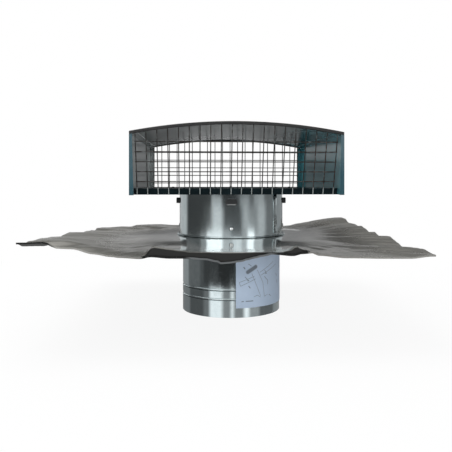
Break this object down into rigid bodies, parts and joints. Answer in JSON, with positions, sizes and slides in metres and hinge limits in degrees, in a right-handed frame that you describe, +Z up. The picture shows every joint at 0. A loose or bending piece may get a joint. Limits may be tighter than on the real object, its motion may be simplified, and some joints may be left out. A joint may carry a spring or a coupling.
{
  "type": "roof vent cap",
  "caption": "Box-shaped duct roof outlet with an arched hood, wire mesh at both ends, a round collar, a soft square flashing sheet and a duct pipe below.",
  "frame": {"origin": "centre of the duct pipe's lower end", "axes": "+Z up along the duct pipe's axis; the hood's front mesh faces -Y and its sides face +X and -X"},
  "size_m": [0.4906, 0.5023, 0.2744],
  "materials": {
    "pipe_galvanised": "bright galvanised steel with a fine spangle",
    "collar_galvanised": "bright galvanised steel with a fine spangle",
    "neck_galvanised": "galvanised steel",
    "rivet_steel": "bright rivet",
    "lug_plastic": "dark grey moulded plastic",
    "black_paint": "black painted rivet head",
    "seal_rubber": "soft black seal",
    "flashing_sheet": "soft matt grey flashing sheet, hand creased",
    "roof_paint": "glossy petrol blue paint",
    "side_paint": "glossy petrol blue paint",
    "trim_paint": "dark brown black edge trim",
    "floor_paint": "glossy dark petrol blue paint",
    "front_wire": "dull dark welded wire",
    "rear_wire": "dull dark welded wire",
    "paper": "printed paper, lavender grey"
  },
  "bodies": {
    "root": {"pipe": "pipe_galvanised", "collar": "collar_galvanised", "locking_lugs": "lug_plastic", "collar_rivets": "rivet_steel", "floor_rivets": "black_paint", "neck_ring": "neck_galvanised", "seal_ring": "seal_rubber", "flashing": "flashing_sheet", "roof": "roof_paint", "front_trim": "trim_paint", "rear_trim": "trim_paint", "side_left": "side_paint", "side_right": "side_paint", "floor_pan": "floor_paint", "side_rivets": "side_paint", "front_mesh": "front_wire", "rear_mesh": "rear_wire", "instruction_sheet": "paper"}
  },
  "joints": []
}
